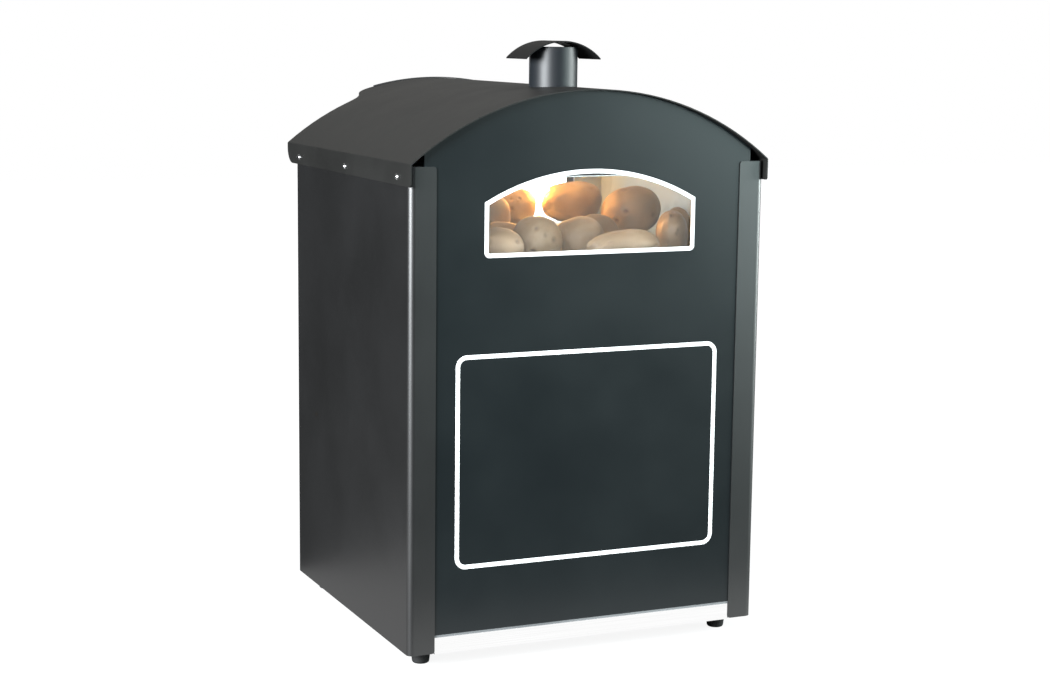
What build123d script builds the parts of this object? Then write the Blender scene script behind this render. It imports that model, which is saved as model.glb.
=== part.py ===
from build123d import *
from math import asin, cos, degrees, hypot, radians, sin, sqrt
import os

os.makedirs("parts", exist_ok=True)

# Counter-top baked potato oven. Millimetres, +Z up, origin on the counter under the middle
# of the whole oven. The customer's side faces -Y and the operator's doors face +Y.

# ---- Driving dimensions ----
overall_depth = 556.0
body_width = 500.0
body_depth = 451.5
casing_sheet = 1.5
casing_bottom = 22.0
side_top_gap = 3.5
seat_gap = 0.1
fit_gap = 0.3

stile_width = 36.0
corner_radius = 8.0
rear_return = 20.0
rear_bend_radius = 3.0
stile_corner_radius = 4.0

roof_sheet = 1.5
roof_radius = 393.0
roof_apex = 737.0
roof_flange = 28.0
roof_bend_radius = 3.0
roof_front_overhang = 8.0
roof_rear_overhang = 38.5
flange_corner_radius = 22.0
flange_front_radius = 4.0
hood_half_width = 104.0
hood_shoulder_width = 58.0
hood_trim_half_width = 100.0
hood_trim_depth = 5.0
hood_trim_height = 1.5

screw_head_radius = 4.0
screw_head_height = 2.6
screw_radius = 2.0
screw_length = 9.0
screw_hole_radius = 2.05
screw_front_inset = 40.7
screw_pitch = 198.0
screws_per_side = 3
screw_drop = 18.0

panel_thickness = 5.0
panel_side_gap = 20.3
panel_bottom = 45.5
panel_roof_gap = 0.6
plinth_sheet = 1.2
plinth_top = 42.6
plinth_setback = 1.0
plinth_return = 18.0

window_half_width = 146.0
window_bottom = 529.8
window_side_top = 595.0
window_apex = 633.3
window_corner_radius = 4.0
outline_width = 5.5
outline_thickness = 0.2
retainer_outer_lap = 9.0
retainer_inner_lap = 1.0
retainer_sheet = 1.5
board_half_width = 186.5
board_bottom = 128.8
board_top = 405.1
board_corner_radius = 15.0

pipe_radius = 32.0
pipe_wall = 1.5
pipe_rim = 788.0
pipe_setback = 126.5
hat_sheet = 1.5
hat_radius = 75.0
hat_half_chord = 53.5
hat_depth = 65.0

foot_top_radius = 13.5
foot_bottom_radius = 11.0
foot_rounding = 3.0
foot_side_inset = 32.5
foot_front_inset = 40.5
foot_rear_inset = 30.0
foot_bore_radius = 4.5
foot_bore_depth = 10.0
foot_screw_radius = 2.5
foot_screw_head_radius = 4.4
foot_screw_head_height = 3.0

pan_sheet = 1.5
pan_flange = 19.0

insulation_thickness = 30.0
liner_sheet = 1.2
liner_side_gap = 60.0
liner_depth = 350.0
liner_bottom = 142.0
liner_top = 473.8
bearer_inset = 50.0
bearer_width = 30.0
bearer_sheet = 2.0

frame_sheet = 1.5
frame_side_gap = 5.0
frame_bottom = 24.0

shelf_count = 3
shelf_first_height = 62.0
shelf_pitch = 92.0
runner_sheet = 1.5
runner_ledge = 12.0
shelf_wire_radius = 2.5
shelf_bar_radius = 1.5
shelf_bar_count = 15
shelf_side_gap = 2.0
shelf_end_gap = 6.0

element_radius = 4.0
element_leg_spacing = 200.0
element_reach = 300.0
element_wall_gap = 20.0
element_tail = 18.0
element_hole_gap = 0.2

display_sheet = 1.2
display_side_gap = 18.0
display_ceiling = 627.0
display_front_gap = 6.0
display_opening_lap = 28.5
display_opening_bottom = 516.0
display_opening_top = 616.0
rack_front = 176.0
rack_first_tread = 66.0
rack_second_tread = 74.0
rack_first_height = 20.0
rack_second_rise = 15.0
rack_side_gap = 7.0
rack_width = 411.0

lamp_holder_radius = 15.0
lamp_holder_height = 24.0
lamp_cap_radius = 10.0
lamp_cap_length = 8.0
lamp_bulb_radius = 16.0
lamp_bulb_drop = 20.0
lamp_x = 50.0
lamp_rear_inset = 160.0

door_side_gap = 36.5
door_skin = 1.2
oven_door_thickness = 32.0
oven_door_margin = 24.0
oven_seal_thickness = 6.0
seal_width = 10.0
seal_margin = 5.0
display_door_thickness = 18.0
display_door_bottom = 501.0
display_door_top = 633.0
display_door_rail = 24.0
display_seal_thickness = 4.0
glass_thickness = 4.0
glass_lap = 8.0

hinge_pin_gap_to_door = 7.5
hinge_pin_stand = 8.7
hinge_barrel_radius = 6.0
hinge_pin_radius = 2.5
hinge_pin_gap = 0.05
hinge_leaf = 2.0
hinge_knuckle = 14.0
hinge_knuckle_gap = 0.4
hinge_inset = 55.0
display_hinge_inset = 32.0
hinge_leaf_reach = 23.0

handle_bar_radius = 8.0
handle_bar_length = 190.0
handle_post_radius = 5.0
handle_reach = 36.0
handle_inset = 23.5
display_handle_bar_radius = 5.0
display_handle_bar_length = 60.0
display_handle_post_radius = 3.0
display_handle_reach = 24.0
display_handle_inset = 14.5

magnet_width = 8.0
magnet_height = 36.0

control_sheet = 2.0
control_side_gap = 8.5
control_bottom = 30.0
control_top = 106.0
control_opening_margin = 14.0
knob_radius = 19.0
knob_height = 17.0
knob_stand = 0.6
knob_shaft_radius = 3.0
knob_shaft_gap = 0.05
knob_shaft_length = 13.0
thermostat_end_gap = 65.0
knob_pitch = 70.0
oven_switch_x = 5.0
light_switch_x = 45.0
gland_end_gap = 40.0
gland_lamp_gap = 50.0
indicator_pitch = 25.0
thermostat_size = 40.0
thermostat_depth = 34.0
timer_size = 46.0
timer_depth = 42.0

rocker_width = 12.0
rocker_length = 22.0
rocker_thickness = 7.0
rocker_tilt = 9.0
rocker_dish = 1.2
rocker_pivot_radius = 1.5
rocker_pivot_gap = 0.05
rocker_side_gap = 0.7
rocker_wall = 2.0
rocker_bezel = 3.0
rocker_housing_depth = 20.0
rocker_bezel_height = 2.5

indicator_radius = 5.0
indicator_height = 4.0
indicator_stem_radius = 3.5
indicator_stem_length = 14.0

gland_flange_radius = 11.0
gland_flange_height = 5.0
gland_dome_radius = 9.0
gland_dome_height = 12.0
gland_thread_radius = 8.0
gland_thread_length = 12.0
gland_bore_radius = 4.0

panel_screw_radius = 2.0
panel_screw_head_radius = 4.0
panel_screw_head_height = 2.0
panel_screw_length = 8.0

# ---- Places worked out from them ----
front = -overall_depth / 2 + roof_front_overhang
rear = front + body_depth
roof_rear = rear + roof_rear_overhang
hood_rear = overall_depth / 2
half_body = body_width / 2
inner_side = half_body - casing_sheet
roof_half_width = half_body + roof_sheet
roof_centre_z = roof_apex - roof_radius
roof_inner_radius = roof_radius - roof_sheet
eaves = roof_centre_z + sqrt(roof_radius**2 - roof_half_width**2)
side_top = eaves - side_top_gap
flange_bottom = eaves - roof_flange
panel_top_radius = roof_inner_radius - panel_roof_gap
panel_half_width = half_body - panel_side_gap
frame_half_width = half_body - frame_side_gap
display_half_width = half_body - display_side_gap
door_half_width = half_body - door_side_gap
display_opening_half_width = door_half_width - display_opening_lap
control_half_width = door_half_width - control_side_gap
thermostat_x = thermostat_end_gap - control_half_width
timer_x = thermostat_x + knob_pitch
gland_x = control_half_width - gland_end_gap
mains_lamp_x = gland_x - gland_lamp_gap
oven_lamp_x = mains_lamp_x - indicator_pitch
liner_half_width = half_body - liner_side_gap
handle_x = door_half_width - handle_inset
display_handle_x = door_half_width - display_handle_inset
hinge_pin_x = -door_half_width - hinge_pin_gap_to_door
hinge_leaf_outer_x = hinge_pin_x - hinge_leaf_reach
rack_left = rack_side_gap - display_half_width
rack_right = rack_left + rack_width
panel_face = front + casing_sheet
panel_back = panel_face + panel_thickness
plinth_face = front + plinth_setback
frame_face = rear - casing_sheet
frame_back = frame_face - frame_sheet
liner_front = frame_back - liner_depth
insulation_front = liner_front - insulation_thickness
insulation_half_width = liner_half_width + insulation_thickness
insulation_bottom = liner_bottom - insulation_thickness
insulation_top = liner_top + insulation_thickness
display_floor_top = insulation_top + display_sheet
cavity_half_width = liner_half_width - liner_sheet
cavity_bottom = liner_bottom + liner_sheet
cavity_top = liner_top - liner_sheet
cavity_front = liner_front + liner_sheet
pipe_y = front + pipe_setback
hinge_y = frame_face + hinge_pin_stand
oven_door_bottom = cavity_bottom - oven_door_margin
oven_door_top = cavity_top + oven_door_margin
oven_door_inner = frame_face + oven_seal_thickness
oven_door_outer = oven_door_inner + oven_door_thickness
display_door_inner = frame_face + display_seal_thickness
display_door_outer = display_door_inner + display_door_thickness
control_face = frame_face + control_sheet
control_z = (control_bottom + control_top) / 2
pan_inside = casing_bottom + pan_sheet


def block(x0, x1, y0, y1, z0, z1):
    """A box between two corners."""
    return Pos((x0 + x1) / 2, (y0 + y1) / 2, (z0 + z1) / 2) * Box(x1 - x0, y1 - y0, z1 - z0)


def round_up(x, y, z0, z1, radius):
    """A round bar standing along Z."""
    return Pos(x, y, z0) * Cylinder(radius, z1 - z0, align=(Align.CENTER, Align.CENTER, Align.MIN))


def round_back(x, y0, y1, z, radius):
    """A round bar lying along Y."""
    bar = Cylinder(radius, y1 - y0, align=(Align.CENTER, Align.CENTER, Align.MIN))
    return Pos(x, y0, z) * Rot(-90, 0, 0) * bar


def round_across(x0, x1, y, z, radius):
    """A round bar lying along X."""
    bar = Cylinder(radius, x1 - x0, align=(Align.CENTER, Align.CENTER, Align.MIN))
    return Pos(x0, y, z) * Rot(0, 90, 0) * bar


def plate_along_y(outline, y0, y1):
    """Extrude an XZ outline from y0 to y1."""
    face = make_face(outline)
    return Pos(0, y1, 0) * Rot(90, 0, 0) * extrude(face, amount=y1 - y0)


def save(shape, name):
    """Write one node."""
    export_step(shape, "parts/" + name + ".step")


def group(solids):
    """Several separate solids that share one node."""
    return Compound(children=list(solids))


# ---- Casing ----
def side_panel(side):
    """A folded sheet: front stile, rolled corner, side wall and narrow rear return."""
    line = FilletPolyline(
        (half_body - stile_width, front),
        (half_body, front),
        (half_body, rear),
        (half_body - rear_return, rear),
        radius=[corner_radius, rear_bend_radius],
    )
    section = make_face(offset(line, amount=casing_sheet, side=Side.LEFT, closed=True).edges())
    panel = Pos(0, 0, casing_bottom) * extrude(section, amount=side_top - casing_bottom)
    stile_edge = half_body - stile_width
    across = panel.edges().filter_by(Axis.Y)
    corners = across.filter_by_position(Axis.X, stile_edge - 1, stile_edge + 1)
    panel = fillet(corners, stile_corner_radius)
    panel = panel - group(roof_screw_holes(1))
    if side < 0:
        panel = mirror(panel, about=Plane.YZ)
    return panel


def roof_screw_places():
    """Y places of the screws along each roof flange."""
    return [front + screw_front_inset + screw_pitch * i for i in range(screws_per_side)]


def roof_screw_holes(side):
    """Through holes for the roof screws in one side."""
    z = flange_bottom + screw_drop - screw_head_radius * 2
    x_in = half_body - screw_length
    x_out = roof_half_width + 1
    holes = []
    for y in roof_screw_places():
        hole = round_across(x_in, x_out, y, z, screw_hole_radius)
        holes.append(hole if side > 0 else mirror(hole, about=Plane.YZ))
    return holes


def roof_screws():
    """Bright domed screws that hold the roof flanges to the side panels."""
    z = flange_bottom + screw_drop - screw_head_radius * 2
    dome_radius = (screw_head_radius**2 + screw_head_height**2) / (2 * screw_head_height)
    dome_angle = degrees(asin(1 - screw_head_height / dome_radius))
    screws = []
    for y in roof_screw_places():
        shank = round_across(roof_half_width - screw_length, roof_half_width, y, z, screw_radius)
        dome = Sphere(dome_radius, dome_angle, align=(Align.CENTER, Align.CENTER, Align.MIN))
        dome = Pos(roof_half_width, y, z) * Rot(0, 90, 0) * dome
        screws.append(shank + dome)
    return group(screws + [mirror(screw, about=Plane.YZ) for screw in screws])


def arch_section(radius, half_width, bottom):
    """XZ outline with straight sides and an arched top that shares the roof's centre."""
    shoulder = roof_centre_z + sqrt(radius**2 - half_width**2)
    crown = (0, roof_centre_z + radius)
    return [
        Line((-half_width, bottom), (half_width, bottom)),
        Line((half_width, bottom), (half_width, shoulder)),
        ThreePointArc((half_width, shoulder), crown, (-half_width, shoulder)),
        Line((-half_width, shoulder), (-half_width, bottom)),
    ]


def eave_edges(body, half_width):
    """The two long edges where the arch turns down into the flanges."""
    return [
        e
        for e in body.edges().filter_by(Axis.Y)
        if abs(abs(e.center().X) - half_width) < 0.01 and e.center().Z > side_top - roof_bend_radius
    ]


def roof():
    """One sheet rolled to the arch, with a flange down each side and a hood at the rear."""
    outer = plate_along_y(arch_section(roof_radius, roof_half_width, flange_bottom), -hood_rear, hood_rear)
    inner = plate_along_y(
        arch_section(roof_inner_radius, half_body, flange_bottom - 1), -hood_rear - 1, hood_rear + 1
    )
    outer = fillet(eave_edges(outer, roof_half_width), roof_bend_radius)
    inner = fillet(eave_edges(inner, half_body), roof_bend_radius - roof_sheet)
    sheet = outer - inner
    shoulder = hood_half_width + hood_shoulder_width
    low = flange_bottom - 5
    for side in (-1, 1):
        curve = Spline(
            (side * shoulder, roof_rear),
            (side * hood_half_width, hood_rear),
            tangents=((-side, 0), (-side, 0)),
        )
        far_x = side * (roof_half_width + 5)
        far_y = hood_rear + 5
        edge = Polyline(
            (side * hood_half_width, hood_rear),
            (side * hood_half_width, far_y),
            (far_x, far_y),
            (far_x, roof_rear),
            (side * shoulder, roof_rear),
        )
        waste = make_face([curve] + list(edge.edges()))
        prism = extrude(waste, amount=roof_apex, dir=(0, 0, 1))
        prism = Pos(0, 0, low) * prism
        sheet = sheet - prism
    corners = [
        e
        for e in sheet.edges().filter_by(Axis.X)
        if abs(e.center().Y - roof_rear) < 0.01 and abs(e.center().Z - flange_bottom) < 0.01
    ]
    sheet = fillet(corners, flange_corner_radius)
    front_corners = [
        e
        for e in sheet.edges().filter_by(Axis.X)
        if abs(e.center().Y + hood_rear) < 0.01 and abs(e.center().Z - flange_bottom) < 0.01
    ]
    sheet = fillet(front_corners, flange_front_radius)
    sheet = sheet - group(roof_screw_holes(1) + roof_screw_holes(-1))
    return sheet - round_up(0, pipe_y, roof_centre_z, roof_apex + 5, pipe_radius - pipe_wall)


def hood_edge_trim():
    """A slim raised strip on top of the hood's rear edge."""
    low = roof_radius + seat_gap
    high = roof_radius + hood_trim_height
    y0 = hood_rear - hood_trim_depth
    strip = plate_along_y(arch_section(high, hood_trim_half_width, roof_centre_z), y0, hood_rear)
    roof_body = plate_along_y(arch_section(low, roof_half_width, roof_centre_z - 1), y0 - 1, hood_rear + 1)
    return strip - roof_body


def base_pan():
    """A shallow folded tray between the side panels that carries the feet and the oven."""
    y0 = plinth_face + plinth_sheet
    tray = block(-inner_side, inner_side, y0, frame_back, casing_bottom, casing_bottom + pan_flange)
    tray = fillet(tray.edges().filter_by(Axis.Z), corner_radius)
    hollow = block(
        -inner_side + pan_sheet,
        inner_side - pan_sheet,
        y0 + pan_sheet,
        frame_back - pan_sheet,
        pan_inside,
        casing_bottom + pan_flange + 1,
    )
    hollow = fillet(hollow.edges().filter_by(Axis.Z), corner_radius - pan_sheet)
    holes = [round_up(x, y, 0, pan_inside + 1, foot_screw_radius + fit_gap) for x, y in foot_places()]
    return tray - hollow - group(holes)


def plinth_strip():
    """Polished stainless channel across the foot of the front, between the stiles."""
    half = half_body - stile_width - fit_gap
    bottom = casing_bottom - plinth_sheet
    face = block(-half, half, plinth_face, plinth_face + plinth_sheet, bottom, plinth_top)
    under = block(-half, half, plinth_face, plinth_face + plinth_return, bottom, casing_bottom)
    over = block(-half, half, plinth_face, panel_back, plinth_top - plinth_sheet, plinth_top)
    return face + under + over


def panel_bottom_trim():
    """Grey edge strip that the front panel stands in."""
    half = panel_half_width
    return block(-half, half, panel_face, panel_back, plinth_top, panel_bottom)


def window_outline_wires(inset):
    """XZ outline of the arched window, moved inwards by inset."""
    half = window_half_width - inset
    bottom = window_bottom + inset
    rise = window_apex - window_side_top
    radius = (window_half_width**2 + rise**2) / (2 * rise)
    centre_z = window_apex - radius
    shoulder = centre_z + sqrt((radius - inset) ** 2 - half**2)
    return [
        Line((-half, bottom), (half, bottom)),
        Line((half, bottom), (half, shoulder)),
        ThreePointArc((half, shoulder), (0, window_apex - inset), (-half, shoulder)),
        Line((-half, shoulder), (-half, bottom)),
    ]


def window_solid(inset, y0, y1, corner):
    """A plate of the window's shape with rounded bottom corners."""
    plate = plate_along_y(window_outline_wires(inset), y0, y1)
    low = [
        e
        for e in plate.edges().filter_by(Axis.Y)
        if abs(e.center().Z - window_bottom - inset) < 0.01
    ]
    return fillet(low, corner)


def front_panel():
    """Smooth dark panel behind the stiles, arched under the roof, with the window cut out."""
    panel = plate_along_y(
        arch_section(panel_top_radius, panel_half_width, panel_bottom), panel_face, panel_back
    )
    return panel - window_solid(0, panel_face - 1, panel_back + 1, window_corner_radius)


def window_pane():
    """Clear glass, flush in the panel's window."""
    return window_solid(fit_gap, panel_face, panel_back, window_corner_radius - fit_gap)


def window_retainer():
    """Steel ring behind the panel that laps the joint and holds the glass."""
    y1 = panel_back + retainer_sheet
    ring = window_solid(
        -retainer_outer_lap, panel_back, y1, window_corner_radius + retainer_outer_lap
    )
    hole_corner = window_corner_radius - retainer_inner_lap
    return ring - window_solid(retainer_inner_lap, panel_back - 1, y1 + 1, hole_corner)


def window_outline():
    """White border printed round the window, over the joint of glass and panel."""
    half_line = outline_width / 2
    y0 = panel_face - outline_thickness
    ring = window_solid(-half_line, y0, panel_face, window_corner_radius + half_line)
    return ring - window_solid(half_line, y0 - 1, panel_face + 1, window_corner_radius - half_line)


def board_outline():
    """White border printed round the menu area."""
    y0 = panel_face - outline_thickness
    plate = block(-board_half_width, board_half_width, y0, panel_face, board_bottom, board_top)
    plate = fillet(plate.edges().filter_by(Axis.Y), board_corner_radius)
    hole = block(
        -board_half_width + outline_width,
        board_half_width - outline_width,
        y0 - 1,
        panel_face + 1,
        board_bottom + outline_width,
        board_top - outline_width,
    )
    hole = fillet(hole.edges().filter_by(Axis.Y), board_corner_radius - outline_width)
    return plate - hole


# ---- Chimney ----
def chimney_pipe():
    """Vent pipe that stands on the roof, saddle-cut to its curve, with a level rim."""
    tube = round_up(0, pipe_y, roof_centre_z + roof_radius - 10, pipe_rim, pipe_radius)
    bore = round_up(0, pipe_y, roof_centre_z, pipe_rim + 1, pipe_radius - pipe_wall)
    roof_body = plate_along_y(
        arch_section(roof_radius, roof_half_width, roof_centre_z), pipe_y - 60, pipe_y + 60
    )
    return tube - bore - roof_body


def hat_arc(radius, centre_z, y0, y1):
    """A round bar along Y about the hat's centre."""
    return round_back(0, y0, y1, centre_z, radius)


def chimney_hat():
    """Curved sheet that rests on the rim at both sides and is open in front and behind."""
    inner = hat_radius - hat_sheet
    centre_z = pipe_rim - sqrt(inner**2 - (pipe_radius - pipe_wall) ** 2) + seat_gap
    y0 = pipe_y - hat_depth / 2
    y1 = pipe_y + hat_depth / 2
    shell = hat_arc(hat_radius, centre_z, y0, y1) - hat_arc(inner, centre_z, y0 - 1, y1 + 1)
    keep_bottom = centre_z + sqrt(hat_radius**2 - hat_half_chord**2)
    keep = block(-hat_half_chord, hat_half_chord, y0, y1, keep_bottom - hat_sheet, centre_z + hat_radius)
    hat = shell & keep
    tube = round_up(0, pipe_y, roof_centre_z, pipe_rim + seat_gap / 2, pipe_radius + seat_gap)
    return hat - tube


# ---- Feet ----
def foot_places():
    """X, Y of the four feet."""
    x = half_body - foot_side_inset
    y0 = front + foot_front_inset
    y1 = rear - foot_rear_inset
    return [(-x, y0), (x, y0), (-x, y1), (x, y1)]


def foot(x, y):
    """Tapered rubber bumper, recessed underneath for its screw."""
    cone = Cone(
        foot_bottom_radius, foot_top_radius, casing_bottom, align=(Align.CENTER, Align.CENTER, Align.MIN)
    )
    cone = fillet(cone.edges().sort_by(Axis.Z)[0], foot_rounding)
    body = Pos(x, y, 0) * cone
    body = body - round_up(x, y, -1, foot_bore_depth, foot_bore_radius)
    return body - round_up(x, y, 0, casing_bottom + 1, foot_screw_radius + fit_gap)


def foot_screws():
    """Pan-head screws up through the feet into the base pan, each with its nut."""
    screws = []
    for x, y in foot_places():
        z = foot_bore_depth
        head = round_up(x, y, z - foot_screw_head_height, z, foot_screw_head_radius)
        shank = round_up(x, y, z, pan_inside + 6, foot_screw_radius)
        nut = round_up(x, y, pan_inside, pan_inside + 4, foot_screw_head_radius)
        screws.append(head + shank + nut)
    return group(screws)


# ---- Rear frame ----
def rear_frame():
    """Rear face plate with the oven, display and control openings."""
    plate = plate_along_y(
        arch_section(panel_top_radius, frame_half_width, frame_bottom), frame_back, frame_face
    )
    y0 = frame_back - 1
    y1 = frame_face + 1
    oven = block(-cavity_half_width, cavity_half_width, y0, y1, cavity_bottom, cavity_top)
    wide = display_opening_half_width
    display = block(-wide, wide, y0, y1, display_opening_bottom, display_opening_top)
    margin = control_opening_margin
    control = block(
        -control_half_width + margin,
        control_half_width - margin,
        y0,
        y1,
        control_bottom + margin / 2,
        control_top - margin / 2,
    )
    holes = [round_back(x, y0, y1, z, panel_screw_radius + fit_gap) for x, z in panel_screw_places()]
    return plate - oven - display - control - group(holes)


def panel_screw_places():
    """X, Z of the control panel's screws."""
    x = control_half_width - control_opening_margin / 2
    return [(-x, control_z), (x, control_z)]


def control_panel():
    """Plate with the holes for the controls."""
    half = control_half_width
    plate = block(-half, half, frame_face, control_face, control_bottom, control_top)
    plate = fillet(plate.edges().filter_by(Axis.Y), 3)
    y0 = frame_face - 1
    y1 = control_face + 1
    cuts = [round_back(x, y0, y1, z, panel_screw_radius + fit_gap) for x, z in panel_screw_places()]
    for x in (thermostat_x, timer_x):
        cuts.append(round_back(x, y0, y1, control_z, knob_shaft_radius + fit_gap))
    for x in (oven_lamp_x, mains_lamp_x):
        cuts.append(round_back(x, y0, y1, control_z, indicator_stem_radius + knob_shaft_gap))
    cuts.append(round_back(gland_x, y0, y1, control_z, gland_thread_radius + knob_shaft_gap))
    half_w = rocker_width / 2 + rocker_side_gap + rocker_wall + knob_shaft_gap
    half_l = rocker_length / 2 + rocker_side_gap + rocker_wall + knob_shaft_gap
    for x in (oven_switch_x, light_switch_x):
        cuts.append(block(x - half_w, x + half_w, y0, y1, control_z - half_l, control_z + half_l))
    return plate - group(cuts)


def panel_screws():
    """Screws of the control panel."""
    screws = []
    head_end = control_face + panel_screw_head_height
    for x, z in panel_screw_places():
        head = round_back(x, control_face, head_end, z, panel_screw_head_radius)
        shank = round_back(x, control_face - panel_screw_length, control_face, z, panel_screw_radius)
        screws.append(head + shank)
    return group(screws)


def knob(x):
    """Round knob with a raised grip bar and a blind bore for its shaft."""
    y0 = control_face + knob_stand
    y1 = y0 + knob_height
    skirt = round_back(x, y0, y0 + 4, control_z, knob_radius)
    barrel = round_back(x, y0, y1 - 3, control_z, knob_radius - 4)
    grip = block(x - 3, x + 3, y0 + 4, y1, control_z - knob_radius + 2, control_z + knob_radius - 2)
    bore_end = control_face + knob_shaft_length + fit_gap
    bore = round_back(x, y0 - 1, bore_end, control_z, knob_shaft_radius + knob_shaft_gap)
    return skirt + barrel + grip - bore


def control_body(x, size, depth):
    """Control behind the panel, with its shaft through the plate."""
    y1 = frame_face
    body = block(x - size / 2, x + size / 2, y1 - depth, y1, control_z - size / 2, control_z + size / 2)
    body = fillet(body.edges().filter_by(Axis.Y), 3)
    shaft = round_back(x, y1, control_face + knob_shaft_length, control_z, knob_shaft_radius)
    return body + shaft


def rocker_housing(x):
    """Switch housing with a bezel round the rocker and two pivot holes."""
    half_w = rocker_width / 2 + rocker_side_gap
    half_l = rocker_length / 2 + rocker_side_gap
    y_back = frame_face - rocker_housing_depth
    y_top = control_face + rocker_bezel_height
    outer_w = half_w + rocker_wall
    outer_l = half_l + rocker_wall
    tub = block(x - outer_w, x + outer_w, y_back, y_top, control_z - outer_l, control_z + outer_l)
    lip_w = outer_w + rocker_bezel
    lip_l = outer_l + rocker_bezel
    lip = block(x - lip_w, x + lip_w, control_face, y_top, control_z - lip_l, control_z + lip_l)
    lip = fillet(lip.edges().filter_by(Axis.Y), 2)
    hollow = block(x - half_w, x + half_w, y_back + 4, y_top + 1, control_z - half_l, control_z + half_l)
    pivot = round_across(
        x - half_w - 1, x + half_w + 1, control_face, control_z, rocker_pivot_radius + rocker_pivot_gap
    )
    return tub + lip - hollow - pivot


def rocker(x):
    """Rocker, concave on its face, tilted to off, with a pivot stub at each side."""
    half_w = rocker_width / 2
    half_l = rocker_length / 2
    body = block(x - half_w, x + half_w, -rocker_thickness / 2, rocker_thickness / 2, -half_l, half_l)
    dish_radius = rocker_length * 2
    dish_y = rocker_thickness / 2 + dish_radius - rocker_dish
    dish = round_across(x - half_w - 1, x + half_w + 1, dish_y, 0, dish_radius)
    body = body - dish
    stub = round_across(x - half_w - 0.9, x + half_w + 0.9, 0, 0, rocker_pivot_radius)
    return Pos(0, control_face, control_z) * Rot(rocker_tilt, 0, 0) * (body + stub)


def indicator_lamps():
    """Two domed pilot lamps pushed through the panel."""
    lamps = []
    for x in (oven_lamp_x, mains_lamp_x):
        stem_end = control_face - indicator_stem_length
        stem = round_back(x, stem_end, control_face, control_z, indicator_stem_radius)
        lens = round_back(x, control_face, control_face + indicator_height, control_z, indicator_radius)
        rim = lens.edges().sort_by(Axis.Y)[-1]
        lens = fillet(rim, indicator_height * 0.6)
        lamps.append(stem + lens)
    return group(lamps)


def cable_gland():
    """Gland that grips the supply lead."""
    y = control_face
    thread = round_back(gland_x, y - gland_thread_length, y, control_z, gland_thread_radius)
    flange = round_back(gland_x, y, y + gland_flange_height, control_z, gland_flange_radius)
    dome_end = y + gland_flange_height + gland_dome_height
    dome = round_back(gland_x, y + gland_flange_height, dome_end, control_z, gland_dome_radius)
    dome = fillet(dome.edges().sort_by(Axis.Y)[-1], 3)
    bore = round_back(gland_x, y - gland_thread_length - 1, dome_end + 1, control_z, gland_bore_radius)
    return thread + flange + dome - bore


# ---- Oven ----
def oven_liner():
    """Stainless oven box, open towards its door, with holes for the heating elements."""
    half = liner_half_width
    box = block(-half, half, liner_front, frame_back, liner_bottom, liner_top)
    hollow = block(
        -cavity_half_width, cavity_half_width, cavity_front, frame_back + 1, cavity_bottom, cavity_top
    )
    return box - hollow - group(element_holes(element_radius + element_hole_gap))


def oven_insulation():
    """Mineral wool blanket on five sides of the liner."""
    half = insulation_half_width
    wool = block(-half, half, insulation_front, frame_back, insulation_bottom, insulation_top)
    core = block(
        -liner_half_width, liner_half_width, liner_front, frame_back + 1, liner_bottom, liner_top
    )
    return wool - core - group(element_holes(element_radius * 2))


def oven_bearers():
    """Two folded channels on the base pan that carry the oven."""
    bearers = []
    for side in (-1, 1):
        x = side * (insulation_half_width - bearer_inset)
        x0 = x - bearer_width / 2
        x1 = x + bearer_width / 2
        outer = block(x0, x1, insulation_front, frame_back - pan_sheet, pan_inside, insulation_bottom)
        inner = block(
            x0 + bearer_sheet,
            x1 - bearer_sheet,
            insulation_front - 1,
            frame_back,
            pan_inside + bearer_sheet,
            insulation_bottom - bearer_sheet,
        )
        slot = block(
            x0 - 1 if side > 0 else x1 - bearer_sheet - 1,
            x0 + bearer_sheet + 1 if side > 0 else x1 + 1,
            insulation_front - 1,
            frame_back,
            pan_inside + bearer_sheet + bearer_width / 3,
            insulation_bottom - bearer_sheet - bearer_width / 3,
        )
        bearers.append(outer - inner - slot)
    return group(bearers)


def element_heights():
    """Z of the lower and the upper heating element."""
    return [cavity_bottom + element_wall_gap, cavity_top - element_wall_gap]


def element_holes(radius):
    """Holes for the element tails through the front wall of the oven."""
    x = element_leg_spacing / 2
    holes = []
    for z in element_heights():
        for side in (-1, 1):
            holes.append(round_back(side * x, insulation_front - 1, cavity_front + 1, z, radius))
    return holes


def heating_elements():
    """Two tubular hairpin elements, one at the floor and one at the roof of the oven."""
    x = element_leg_spacing / 2
    y0 = liner_front - element_tail
    y1 = y0 + element_reach
    bend = x * 0.6
    elements = []
    for z in element_heights():
        legs = [round_back(side * x, y0, y1 - bend, z, element_radius) for side in (-1, 1)]
        cross = round_across(-x + bend, x - bend, y1, z, element_radius)
        path = [(-x + bend, y1 - bend), (x - bend, y1 - bend)]
        element = legs[0] + legs[1] + cross
        for side, (cx, cy) in zip((-1, 1), path):
            ring = Pos(cx, cy, z) * Torus(bend, element_radius)
            reach = side * (x + bend)
            quarter = block(min(cx, reach), max(cx, reach), cy, cy + x + bend, z - bend, z + bend)
            element = element + (ring & quarter)
        elements.append(element)
    return group(elements)


def shelf_heights():
    """Z of the ledges for the wire shelves."""
    return [cavity_bottom + shelf_first_height + shelf_pitch * i for i in range(shelf_count)]


def shelf_runner(side):
    """Side plate with a folded ledge for each shelf."""
    wall = side * cavity_half_width
    y0 = cavity_front + shelf_end_gap
    y1 = frame_back - shelf_end_gap
    bottom = cavity_bottom
    plate_inner = wall - side * runner_sheet
    top = shelf_heights()[-1] + runner_ledge * 2
    runner = block(min(wall, plate_inner), max(wall, plate_inner), y0, y1, bottom, top)
    for z in shelf_heights():
        tip = plate_inner - side * runner_ledge
        runner = runner + block(min(tip, wall), max(tip, wall), y0, y1, z - runner_sheet, z)
    return runner


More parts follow.
